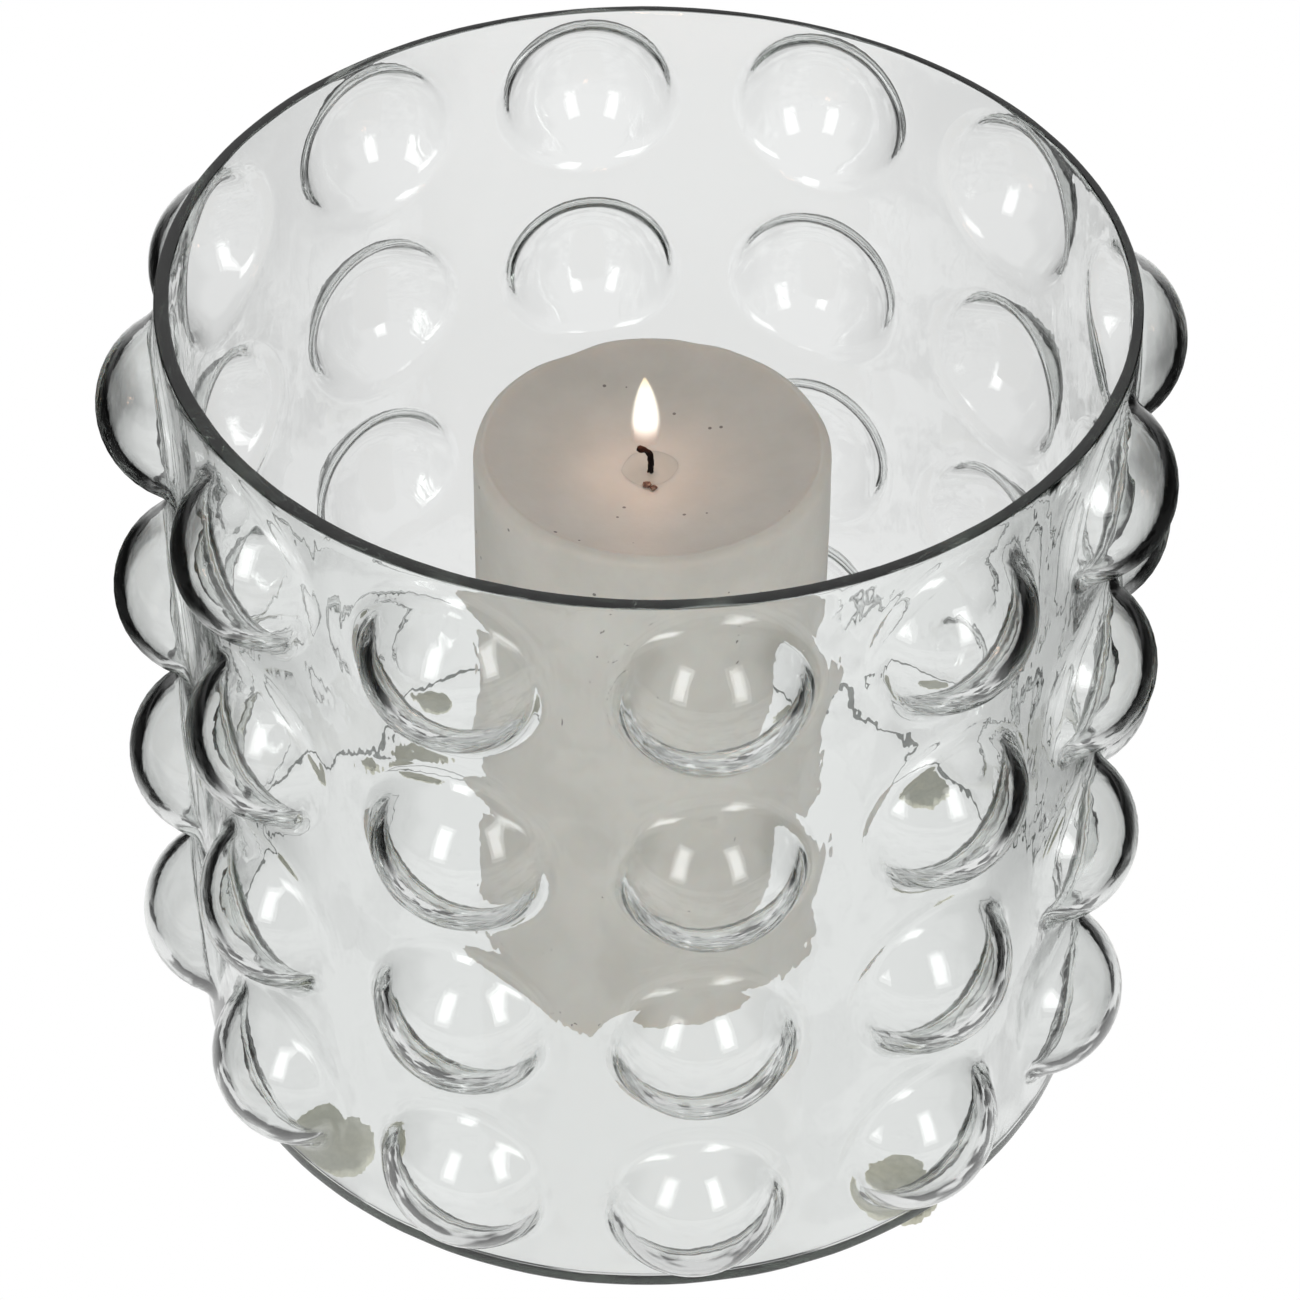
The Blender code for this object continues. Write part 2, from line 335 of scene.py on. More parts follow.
def wick_material():
    mat, tree, shader = material("charred_wick")
    coords = object_coords(tree)
    char = node(tree, "ShaderNodeTexNoise", Scale=1400.0, Detail=4.0, Roughness=0.7)
    tree.links.new(coords, char.inputs["Vector"])
    burnt = ramp(
        tree,
        char.outputs["Fac"],
        [(0.35, (0.004, 0.002, 0.002)), (0.62, (0.009, 0.004, 0.003)), (0.8, (0.025, 0.009, 0.005))],
    )
    height = tree.nodes.new("ShaderNodeSeparateXYZ")
    tree.links.new(coords, height.inputs["Vector"])
    level = node(tree, "ShaderNodeMapRange")
    level.inputs["From Min"].default_value = DISH_FLOOR - 0.0002
    level.inputs["From Max"].default_value = DISH_FLOOR + 0.0005
    tree.links.new(height.outputs["Z"], level.inputs["Value"])
    ember = between(tree, height.outputs["Z"], WICK_HIGH.z - 0.0030, WICK_HIGH.z - 0.0014, 0.0, 0.85)
    burnt = mixed(tree, ember, burnt, (0.026, 0.008, 0.0035))
    colour = mixed(tree, level.outputs["Result"], (0.62, 0.56, 0.46), burnt)
    tree.links.new(colour, shader.inputs["Base Color"])
    shader.inputs["Roughness"].default_value = 0.95
    shader.inputs["Specular IOR Level"].default_value = 0.15
    glow = node(tree, "ShaderNodeMapRange")
    glow.inputs["From Min"].default_value = WICK_HIGH.z - 0.0012
    glow.inputs["From Max"].default_value = WICK_HIGH.z
    glow.inputs["To Max"].default_value = 0.05
    tree.links.new(height.outputs["Z"], glow.inputs["Value"])
    shader.inputs["Emission Color"].default_value = (1.0, 0.16, 0.03, 1.0)
    tree.links.new(glow.outputs["Result"], shader.inputs["Emission Strength"])
    bump = node(tree, "ShaderNodeBump", Strength=0.7, Distance=0.0002)
    tree.links.new(char.outputs["Fac"], bump.inputs["Height"])
    tree.links.new(bump.outputs["Normal"], shader.inputs["Normal"])
    return mat


def pad_material():
    mat, tree, shader = material("pad_foam")
    coords = object_coords(tree)
    cells = node(tree, "ShaderNodeTexNoise", Scale=650.0, Detail=4.0, Roughness=0.65)
    broad = node(tree, "ShaderNodeTexNoise", Scale=90.0, Detail=2.0)
    tree.links.new(coords, cells.inputs["Vector"])
    tree.links.new(coords, broad.inputs["Vector"])
    fine = ramp(tree, cells.outputs["Fac"], [(0.3, (0.70, 0.70, 0.575)), (0.7, (0.86, 0.85, 0.72))])
    stain = ramp(tree, broad.outputs["Fac"], [(0.35, (0.86, 0.86, 0.84)), (0.7, (1.0, 0.96, 0.88))])
    colour = mixed(tree, 1.0, fine, stain, "MULTIPLY")
    tree.links.new(colour, shader.inputs["Base Color"])
    rough = ramp(tree, cells.outputs["Fac"], [(0.3, (0.78, 0.78, 0.78)), (0.7, (0.95, 0.95, 0.95))])
    tree.links.new(rough, shader.inputs["Roughness"])
    shader.inputs["Sheen Weight"].default_value = 0.25
    bump = node(tree, "ShaderNodeBump", Strength=0.5, Distance=0.0003)
    tree.links.new(cells.outputs["Fac"], bump.inputs["Height"])
    tree.links.new(bump.outputs["Normal"], shader.inputs["Normal"])
    return mat


def tin_material():
    mat, tree, shader = material("tinned_steel")
    coords = object_coords(tree)
    brushed = node(tree, "ShaderNodeTexNoise", Scale=700.0, Detail=3.0, Roughness=0.6)
    tree.links.new(coords, brushed.inputs["Vector"])
    tone = ramp(tree, brushed.outputs["Fac"], [(0.3, (0.60, 0.60, 0.59)), (0.7, (0.74, 0.74, 0.73))])
    rough = ramp(tree, brushed.outputs["Fac"], [(0.3, (0.25, 0.25, 0.25)), (0.7, (0.45, 0.45, 0.45))])
    tree.links.new(tone, shader.inputs["Base Color"])
    tree.links.new(rough, shader.inputs["Roughness"])
    shader.inputs["Metallic"].default_value = 1.0
    return mat


def flame_material(name, strength, low, high):
    """Hot and nearly white above, rosy and clear at the foot. Each shell of the flame
    carries its own share of the whole, so that the outline is soft."""
    mat, tree, shader = material(name)
    height = tree.nodes.new("ShaderNodeSeparateXYZ")
    tree.links.new(object_coords(tree), height.inputs["Vector"])
    level = node(tree, "ShaderNodeMapRange")
    level.inputs["From Min"].default_value = low
    level.inputs["From Max"].default_value = high
    tree.links.new(height.outputs["Z"], level.inputs["Value"])
    colour = ramp(
        tree,
        level.outputs["Result"],
        [
            (0.0, (0.40, 0.25, 0.20)),
            (0.24, (0.42, 0.28, 0.22)),
            (0.34, (0.66, 0.54, 0.46)),
            (0.46, (1.0, 0.93, 0.82)),
            (0.84, (1.0, 0.93, 0.78)),
            (1.0, (0.85, 0.66, 0.42)),
        ],
    )
    clear = ramp(
        tree,
        level.outputs["Result"],
        [(0.20, (0.0,) * 3), (0.27, (0.15,) * 3), (0.35, (0.50,) * 3), (0.46, (1.0,) * 3), (1.0, (1.0,) * 3)],
    )
    shell = tree.nodes.new("ShaderNodeAttribute")
    shell.attribute_name = "shell"
    shader.inputs["Base Color"].default_value = (0.0, 0.0, 0.0, 1.0)
    shader.inputs["Specular IOR Level"].default_value = 0.0
    shader.inputs["Roughness"].default_value = 1.0
    tree.links.new(colour, shader.inputs["Emission Color"])
    shader.inputs["Emission Strength"].default_value = strength
    tree.links.new(calc(tree, "MULTIPLY", clear, shell.outputs["Fac"]), shader.inputs["Alpha"])
    return mat


# ---- the camera -----------------------------------------------------------------
def make_camera():
    """The photograph's viewing angle: 42 degrees down, a little left of the front column."""
    turn = math.radians(-7.7)
    spin = Matrix.Rotation(turn, 3, "Z")
    pitch, yaw, roll = math.radians(41.86), math.radians(0.08), math.radians(0.63)
    place = Vector((0.0, -7.347, 7.525)) * R_OUT
    ahead = Vector(
        (math.sin(yaw) * math.cos(pitch), math.cos(yaw) * math.cos(pitch), -math.sin(pitch))
    )
    right = Vector((math.cos(yaw), -math.sin(yaw), 0.0))
    up = right.cross(ahead)
    right2 = math.cos(roll) * right + math.sin(roll) * up
    up2 = -math.sin(roll) * right + math.cos(roll) * up
    place, ahead, right2, up2 = (spin @ v for v in (place, ahead, right2, up2))
    place.z += BASE
    data = bpy.data.cameras.new("camera")
    data.sensor_width = 36.0
    data.lens = 4545.0 / 1300.0 * 36.0
    data.clip_start = 0.01
    data.clip_end = 50.0
    camera = bpy.data.objects.new("camera", data)
    basis = Matrix((right2, up2, -ahead)).transposed().to_4x4()
    camera.matrix_world = Matrix.Translation(place) @ basis
    bpy.context.scene.collection.objects.link(camera)
    bpy.context.scene.camera = camera
    return camera


# ---- the bubble glass -----------------------------------------------------------
def cylinder_point(phi, z, radius):
    return Vector((radius * math.cos(phi), radius * math.sin(phi), z))


def smooth_step(t):
    t = min(1.0, max(0.0, t))
    return t * t * (3.0 - 2.0 * t)


def wall_thickness(phi, z):
    """The plain wall. The gather was thinner at the back right, which shows at the rim."""
    view = phi + math.radians(7.7)
    rim = 0.0023 - 0.0004 * math.cos(view) - 0.0006 * math.sin(view) + 0.00015 * math.cos(2 * view)
    body = WALL * thinning(phi)
    return body + (rim - body) * smooth_step((z - (RIM - 0.012)) / 0.009)


def thinning(phi):
    """The gather ran thin on the far side: its walls carry less glass than the near ones."""
    return 1.0 - 0.42 * smooth_step(0.5 + 0.62 * math.sin(phi + math.radians(7.7)))


class Bubble:
    """A sphere blended into the cylinder by a ball that rolls round its foot."""

    def __init__(self, phi, z, radius, centre, ball):
        self.phi, self.z, self.ball, self.radius = phi, z, ball, radius
        self.across = R_OUT + ball
        self.middle = cylinder_point(phi, z, centre)
        self.centre_r = centre
        self.reach = radius + ball
        widest = (self.across**2 + centre**2 - self.reach**2) / (2 * self.across * centre)
        self.half = math.acos(widest)
        self.pole = cylinder_point(phi, 0.0, 1.0)

    def ball_centre(self, a):
        """Where the ball sits, in the direction a round the bubble's axis."""
        turn = self.half * math.cos(a)
        rest = self.reach**2 - self.across**2 - self.centre_r**2
        rest += 2 * self.across * self.centre_r * math.cos(turn)
        rise = math.sqrt(max(0.0, rest)) * (1.0 if math.sin(a) >= 0 else -1.0)
        return cylinder_point(self.phi + turn, self.z + rise, self.across), self.phi + turn

    def line(self, a, caps, rounds):
        """(point, outward direction, share of plain wall) from near the pole to the wall."""
        seat, phi = self.ball_centre(a)
        toward = (seat - self.middle).normalized()
        join = self.pole.angle(toward)
        side = (toward - self.pole * self.pole.dot(toward)).normalized()
        made = []
        for i in range(1, caps + 1):
            t = join * i / caps
            out = self.pole * math.cos(t) + side * math.sin(t)
            made.append((self.middle + out * self.radius, out, 0.25 * (i / caps) ** 3))
        down = cylinder_point(phi, 0.0, -1.0)
        start = -toward
        sweep = start.angle(down)
        for i in range(1, rounds + 1):
            t = i / rounds
            inward = (
                start * math.sin((1 - t) * sweep) + down * math.sin(t * sweep)
            ) / math.sin(sweep)
            made.append((seat + inward * self.ball, -inward, 0.25 + 0.75 * t))
        return made


def glass_surface(verts, faces, inside, per_side, blends):
    """One side of the wall as a quilt of cells, each with a bubble in its middle."""
    caps, rounds = 8, 6
    low = EDGE_TOP + CORNER if inside else BASE + HEEL
    high = RIM - RIM_EDGE
    half_turn = math.pi / COLUMNS
    count = 4 * per_side
    rnd = np.random.RandomState(11)
    wobble = rnd.uniform(-1.0, 1.0, (COLUMNS, ROWS, 6))
    edges_low, edges_high = {}, {}

    def settle(point, out, share, thick):
        """The inner side is the outer side moved in by the local thickness."""
        phi = math.atan2(point.y, point.x)
        calm = 0.30 + 0.70 * share
        if not inside:
            swell = 0.00016 * ripple(point, 24.0, 3.0)
            swell += 0.00011 * calm * ripple((point.x, point.y, point.z * 0.55), 120.0, 8.0)
            return point + out * swell
        depth = thick * (1.0 - share) + wall_thickness(phi, point.z) * share
        swell = 0.00022 * ripple(point, 30.0, 31.0)
        swell += 0.00017 * calm * ripple((point.x, point.y, point.z * 0.5), 135.0, 36.0)
        return point - out * (depth + swell)

    for column in range(COLUMNS):
        phi0 = math.radians(-90.0) + column * 2 * half_turn
        for row in range(ROWS):
            zc0 = BASE + ROW_FIRST + row * ROW_STEP
            z_low = low if row == 0 else zc0 - ROW_STEP / 2
            z_high = high if row == ROWS - 1 else zc0 + ROW_STEP / 2
            w = wobble[column, row]
            slide, drop = STRAY.get((column, row), (0.0, 0.0))
            bubble = Bubble(
                phi0 + (0.0006 * w[0] + slide) / R_OUT,
                zc0 + 0.0004 * w[1] + drop,
                SPHERE * (1.0 + 0.010 * w[2]),
                CENTRE_R - 0.0002 + 0.0002 * w[3],
                BALL * (1.0 + 0.12 * w[4]),
            )
            thick = (DOME + 0.00022 * w[5]) * thinning(phi0)
            square = []
            for side in range(4):
                for i in range(per_side):
                    t = i / per_side
                    if side == 0:
                        square.append((phi0 + half_turn, z_low + (z_high - z_low) * t))
                    elif side == 1:
                        square.append((phi0 + half_turn - 2 * half_turn * t, z_high))
                    elif side == 2:
                        square.append((phi0 - half_turn, z_high + (z_low - z_high) * t))
                    else:
                        square.append((phi0 - half_turn + 2 * half_turn * t, z_low))
            start = len(verts)
            top = bubble.middle + bubble.pole * bubble.radius
            verts.append(settle(top, bubble.pole, 0.0, thick))
            rings = [[] for _ in range(caps + rounds + blends)]
            for phi_s, z_s in square:
                a = math.atan2(z_s - bubble.z, (phi_s - bubble.phi) * R_OUT)
                line = bubble.line(a, caps, rounds)
                for ring, (point, out, share) in zip(rings, line):
                    place = settle(point, out, share, thick)
                    place.z = max(z_low + 0.00006, min(z_high - 0.00006, place.z))
                    ring.append(len(verts))
                    verts.append(place)
                foot = line[-1][0]
                phi_f = math.atan2(foot.y, foot.x)
                if phi_f - phi0 > math.pi:
                    phi_f -= 2 * math.pi
                if phi_f - phi0 < -math.pi:
                    phi_f += 2 * math.pi
                z_f = max(z_low + 0.00006, min(z_high - 0.00006, foot.z))
                for j in range(1, blends + 1):
                    t = j / blends
                    phi = phi_f + (phi_s - phi_f) * t
                    out = cylinder_point(phi, 0.0, 1.0)
                    point = cylinder_point(phi, z_f + (z_s - z_f) * t, R_OUT)
                    ring = rings[caps + rounds + j - 1]
                    ring.append(len(verts))
                    verts.append(settle(point, out, 1.0, thick))
            first = rings[0]
            for k in range(count):
                n = (k + 1) % count
                faces.append((start, first[k], first[n]))
            for a, b in zip(rings, rings[1:]):
                bridge(faces, a, b)
            last = rings[-1]
            if row == 0:
                for i in range(per_side):
                    edges_low[column * per_side + i] = last[3 * per_side + i]
            if row == ROWS - 1:
                for i in range(1, per_side):
                    edges_high[column * per_side + per_side - i] = last[per_side + i]
                edges_high[column * per_side] = last[2 * per_side]
    total = COLUMNS * per_side
    return [edges_low[i] for i in range(total)], [edges_high[i] for i in range(total)]


def bridge(faces, a, b):
    count = len(a)
    for k in range(count):
        n = (k + 1) % count
        faces.append((a[k], b[k], b[n], a[n]))


def make_glass():
    per_side = 14
    verts, faces = [], []
    out_low, out_high = glass_surface(verts, faces, False, per_side, 3)
    in_low, in_high = glass_surface(verts, faces, True, per_side, 3)
    total = COLUMNS * per_side

    def band(first, last, path):
        """Rings between two edges; path gives (share from first to last, height, pull)."""
        previous = first
        for share, lift, out in path:
            current = []
            for i in range(total):
                a, b = verts[first[i]], verts[last[i]]
                p = a.lerp(b, share)
                r = math.hypot(p.x, p.y)
                k = (r + out) / r
                current.append(len(verts))
                verts.append(Vector((p.x * k, p.y * k, lift)))
            bridge(faces, previous, current)
            previous = current
        bridge(faces, previous, last)

    # the fire-polished rim, from the outside over its flat top to the inside
    e = RIM_EDGE
    path = []
    for i in range(1, 5):
        a = math.radians(90.0 * i / 4)
        path.append((0.0, RIM - e + e * math.sin(a), -e * (1.0 - math.cos(a))))
    path.append((0.5, RIM, 0.0))
    for i in range(4):
        a = math.radians(90.0 * (4 - i) / 4)
        path.append((1.0, RIM - e + e * math.sin(a), e * (1.0 - math.cos(a))))
    band(out_high, in_high, path)

    def shrink(edge, path):
        previous = edge
        for factor, lift in path:
            current = []
            for i in range(total):
                p = verts[edge[i]]
                r = math.hypot(p.x, p.y)
                radius = r - factor if factor < 0.02 else r * (1.0 - factor)
                current.append(len(verts))
                verts.append(Vector((p.x / r * radius, p.y / r * radius, lift)))
            bridge(faces, previous, current)
            previous = current
        middle = len(verts)
        verts.append(Vector((0.0, 0.0, path[-1][1])))
        for k in range(total):
            faces.append((previous[k], middle, previous[(k + 1) % total]))

    # heel and underside
    turn = [math.radians(90.0 * i / 5) for i in range(1, 6)]
    path = [(HEEL * (1 - math.cos(a)), BASE + HEEL - HEEL * math.sin(a)) for a in turn]
    path += [(f, BASE) for f in (0.05, 0.10, 0.18, 0.28, 0.40, 0.55, 0.70, 0.86)]
    shrink(out_low, path)

    # inside corner and floor, which is a little uneven
    path = [(CORNER * (1 - math.cos(a)), EDGE_TOP + CORNER - CORNER * math.sin(a)) for a in turn]
    for f in (0.05, 0.08, 0.11, 0.14, 0.18, 0.22, 0.28, 0.40, 0.55, 0.70, 0.86):
        path.append((f, EDGE_TOP + (FLOOR_TOP - EDGE_TOP) * smooth_step((f - 0.03) / 0.17)))
    begin = len(verts)
    shrink(in_low, path)
    for p in verts[begin:]:
        if p.z < FLOOR_TOP + 1e-6 and math.hypot(p.x, p.y) < R_OUT * 0.80:
            p.z -= 0.00010 * (0.5 + 0.5 * ripple(p, 55.0, 9.0))

    glass = new_object("bubble_glass_fine", verts, faces)
    face_out(glass)
    glass.data.materials.append(glass_material())
    glass.visible_shadow = False
    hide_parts("bubble_glass")
    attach(glass, "glass_body")
    return glass


# ---- the candle -----------------------------------------------------------------
def dish(radius):
    t = min(1.0, radius / DISH_R)
    return DISH_FLOOR + (DISH_DEPTH - 0.0004) * t**2.2


def top_wear(x, y, z):
    """How far the candle's top has moved from a true turned dish at (x, y)."""
    r = math.hypot(x, y)
    a = math.atan2(y, x)
    notch = 0.0011 * math.exp(-(((a - math.radians(111)) / 0.17) ** 2))
    notch += 0.0004 * math.exp(-(((a - math.radians(68)) / 0.10) ** 2))
    notch += 0.00015 * (1 + math.sin(3 * a + 0.6))
    lumps = 0.00022 * ripple((x, y, 0.0), 60.0, 2.0) + 0.00010 * ripple((x, y, 0.0), 160.0, 8.0)
    return -notch * (r / WAX_R) ** 5 + lumps * min(1.0, r / 0.012) - 0.0001


def make_candle():
    steps = 200
    shoulder = 0.0024
    top = WAX_HIGH.z
    profile = [(0.0, DISH_FLOOR)]
    profile += [(DISH_R * i / 34, dish(DISH_R * i / 34)) for i in range(1, 35)]
    profile += arc(WAX_R - shoulder, top - shoulder, shoulder, 80.0, 0.0, 7)
    low = WAX_LOW.z
    side_top = top - shoulder
    for i in range(1, 46):
        profile.append((WAX_R, side_top + (low + 0.001 - side_top) * i / 46))
    profile += arc(WAX_R - 0.001, low + 0.001, 0.001, 0.0, -90.0, 4)
    profile += [(0.0129, low), (0.0128, low + 0.0011), (0.0, low + 0.0011)]
    wax = lathe("candle_wax_fine", profile, steps, (AXIS.x, AXIS.y, 0.0))
    for v in wax.data.vertices:
        x, y, z = v.co.x - AXIS.x, v.co.y - AXIS.y, v.co.z
        r = math.hypot(x, y)
        if r < 1e-6:
            continue
        if r > WAX_R - 0.0025:
            wave = 0.00018 * ripple((x, y, z), 45.0, 2.0) + 0.00009 * ripple((x, y, z), 130.0, 8.0)
            # a dent or two pressed into the side
            for da, dz, size in ((-62.0, 0.012, 0.0016), (-20.0, 0.021, 0.0012), (-128.0, 0.017, 0.0013)):
                a = math.radians(da)
                d = math.hypot(x - WAX_R * math.cos(a), y - WAX_R * math.sin(a))
                d = math.hypot(d, z - (top - dz))
                wave -= 0.00035 * math.exp(-((d / size) ** 2))
            k = (r + min(wave, 0.0) * 1.4 - 0.00003) / r
            v.co.x, v.co.y = AXIS.x + x * k, AXIS.y + y * k
        fade = smooth_step((z - (top - 0.011)) / 0.008)
        if fade > 0.0:
            v.co.z = z + top_wear(x, y, z) * fade
    wax.data.update()
    wax.data.materials.append(wax_material())
    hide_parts("candle_wax")
    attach(wax, "candle")

    pool_r = 0.0061
    level = DISH_FLOOR + 0.00003
    profile = [(pool_r * t, level) for t in (0.0, 0.2, 0.4, 0.6, 0.75, 0.86, 0.93, 1.0, 1.1, 1.2, 1.35)]
    profile += [(pool_r * 1.36, level - 0.0003), (pool_r - 0.001, level - 0.0007), (0.0, level - 0.0007)]
    pool = lathe("melt_pool", profile, 96, (WICK.x, WICK.y, 0.0))
    for v in pool.data.vertices:
        x, y = v.co.x - WICK.x, v.co.y - WICK.y
        r = math.hypot(x, y)
        if r > pool_r * 0.5:
            a = math.atan2(y, x)
            k = 1.0 + 0.025 * math.sin(3 * a + 1.0) + 0.018 * math.sin(5 * a)
            v.co.x, v.co.y = WICK.x + x * k, WICK.y + y * k
        # the wax climbs the wick a little
        v.co.z += 0.0004 * math.exp(-r / 0.0006) * (v.co.z > level - 0.0001)
    pool.data.materials.append(pool_material())
    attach(pool, "candle")
    return wax, pool


def wick_path():
    """Straight up the wax, a little lean above it, then bent over sideways."""
    lean = math.radians(172.3)
    away = Vector((math.cos(lean), math.sin(lean), 0.0))
    foot = Vector((WICK.x, WICK.y, 0.0))
    points = [foot + Vector((0, 0, WICK_LOW.z + (DISH_FLOOR - WICK_LOW.z) * i / 4)) for i in range(5)]
    for i in range(1, 9):
        t = i / 8
        points.append(foot - away * (0.00022 * math.sin(math.pi * t * 0.8)) + Vector((0, 0, DISH_FLOOR + 0.0040 * t)))
    turn = points[-1]
    for i in range(1, 15):
        a = math.radians(76.0) * i / 14
        points.append(turn + away * (0.0021 * (1 - math.cos(a))) + Vector((0, 0, 0.0021 * math.sin(a))))
    last = points[-1]
    for i in range(1, 5):
        points.append(last + (away * math.sin(a) + Vector((0, 0, math.cos(a)))) * (0.0011 * i / 4))
    return points


def make_wick():
    """Three plaited strands, charred and lumpy above the wax."""
    path = wick_path()
    verts, faces = [], []
    sides = 9
    dense = []
    for i, (a, b) in enumerate(zip(path, path[1:])):
        steps = 14 if i < 4 else 3
        for s in range(steps):
            dense.append(a.lerp(b, s / steps))
    dense.append(path[-1])
    lengths = [0.0]
    for a, b in zip(dense, dense[1:]):
        lengths.append(lengths[-1] + (b - a).length)
    for strand in range(3):
        rings = []
        for i, p in enumerate(dense):
            ahead = (dense[min(i + 1, len(dense) - 1)] - dense[max(i - 1, 0)]).normalized()
            side = ahead.cross(Vector((0.0, 1.0, 0.0))).normalized()
            other = ahead.cross(side)
            t = lengths[i] / 0.0056 * 2 * math.pi + strand * 2 * math.pi / 3
            centre = p + side * (0.00027 * math.sin(t)) + other * (0.00018 * math.sin(2 * t))
            thick = 0.00038 * (1.0 + 0.20 * ripple(p * 1.0, 1900.0, strand * 7.0))
            left = lengths[-1] - lengths[i]
            thick *= 1.0 + 0.28 * math.exp(-((left - 0.0006) / 0.0006) ** 2)
            ring = []
            for k in range(sides):
                a = 2 * math.pi * k / sides
                rough = 1.0 + 0.10 * ripple((p.x + k * 0.01, p.y, p.z), 2600.0, strand)
                ring.append(len(verts))
                verts.append(
                    centre + side * (thick * rough * math.cos(a)) + other * (thick * rough * math.sin(a))
                )
            rings.append(ring)
        for a, b in zip(rings, rings[1:]):
            bridge(faces, a, b)
        faces.append(tuple(rings[0]))
        faces.append(tuple(rings[-1]))
    wick = face_out(new_object("wick_braided", verts, faces))
    wick.data.materials.append(wick_material())
    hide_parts("wick")
    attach(wick, "candle")

    # two crumbs of char that have dropped into the pool at the wick's foot
    mat, tree, shader = material("wick_crumb")
    char = node(tree, "ShaderNodeTexNoise", Scale=1300.0, Detail=4.0, Roughness=0.7)
    tree.links.new(object_coords(tree), char.inputs["Vector"])
    tone = ramp(
        tree,
        char.outputs["Fac"],
        [(0.38, (0.06, 0.024, 0.014)), (0.52, (0.17, 0.075, 0.045)), (0.66, (0.42, 0.30, 0.22))],
    )
    tree.links.new(tone, shader.inputs["Base Color"])
    shader.inputs["Roughness"].default_value = 0.6
    for index, (dx, dy, wide, deep, spin) in enumerate(
        ((-0.0011, -0.0040, 0.00080, 0.00085, 0.5), (0.0001, -0.0051, 0.00062, 0.00072, -0.6))
    ):
        bm = bmesh.new()
        bmesh.ops.create_icosphere(bm, subdivisions=4, radius=1.0)
        for v in bm.verts:
            k = 1.0 + 0.45 * ripple(v.co, 1.6, 4.0 + index) + 0.25 * ripple(v.co, 4.5, 9.0)
            v.co = Vector((v.co.x * wide * k, v.co.y * deep * k, v.co.z * 0.0003 * k))
        mesh = bpy.data.meshes.new("wick_crumb")
        bm.to_mesh(mesh)
        bm.free()
        mesh.shade_smooth()
        crumb = bpy.data.objects.new("wick_crumb_" + "ab"[index], mesh)
        bpy.context.scene.collection.objects.link(crumb)
        crumb.location = (WICK.x + dx, WICK.y + dy, DISH_FLOOR + 0.0005)
        crumb.rotation_euler = (0.0, 0.0, spin)
        crumb.data.materials.append(mat)
        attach(crumb, "candle")
    return wick


def make_flame():
    """A still, bullet-shaped flame over the wick's bent tip."""
    foot = DISH_FLOOR + 0.0046
    tall = 0.0197
    cx, cy = WICK.x - 0.00104, WICK.y + 0.00014

    def shape(name, mat, shells):
        """One object of several shells, one inside another, each with its opacity."""
        bm = bmesh.new()
        layer = bm.verts.layers.float.new("shell")
        n, steps = 40, 40
        for scale, opacity in shells:
            rings = []
            for i in range(1, n):
                t = i / n
                r = 0.00282
                if t < 0.12:
                    r *= 0.88 + 0.12 * t / 0.12
                if t > 0.26:
                    r *= (1.0 - ((t - 0.26) / 0.74) ** 2.3) ** 0.90
                z = foot + tall * (0.5 + (t - 0.5) * (1.0 + 0.22 * (scale - 1.0)))
                lean = 0.00022 * math.sin(2.4 * t) - 0.00030 * t * t
                ring = []
                for k in range(steps):
                    a = 2 * math.pi * k / steps
                    v = bm.verts.new((cx + lean + r * scale * math.cos(a), cy + r * scale * math.sin(a), z))
                    v[layer] = opacity
                    ring.append(v)
                rings.append(ring)
            for a, b in zip(rings, rings[1:]):
                for k in range(steps):
                    m = (k + 1) % steps
                    bm.faces.new((a[k], a[m], b[m], b[k]))
            bm.faces.new(list(reversed(rings[0])))
            bm.faces.new(rings[-1])
        mesh = bpy.data.meshes.new(name)
        bm.to_mesh(mesh)
        bm.free()
        mesh.shade_smooth()
        flame = bpy.data.objects.new(name, mesh)
        bpy.context.scene.collection.objects.link(flame)
        flame.data.materials.append(mat)
        flame.visible_shadow = False
        flame.visible_diffuse = False
        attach(flame, "candle")
        return flame

    core = shape("flame_core", flame_material("flame_core", 2.4, foot, foot + tall), ((0.80, 0.95),))
    shape(
        "flame_veil",
        flame_material("flame_veil", 1.25, foot, foot + tall),
        ((0.86, 0.50), (0.92, 0.40), (0.98, 0.28), (1.05, 0.14), (1.15, 0.05)),
    )
    data = bpy.data.lights.new("flame_light", "POINT")
    data.energy = 0.0042
    data.color = (1.0, 0.60, 0.42)
    data.shadow_soft_size = 0.004
    lamp = bpy.data.objects.new("flame_light", data)
    bpy.context.scene.collection.objects.link(lamp)
    lamp.parent = core
    lamp.location = (cx, cy, foot + tall * 0.42)
    return core


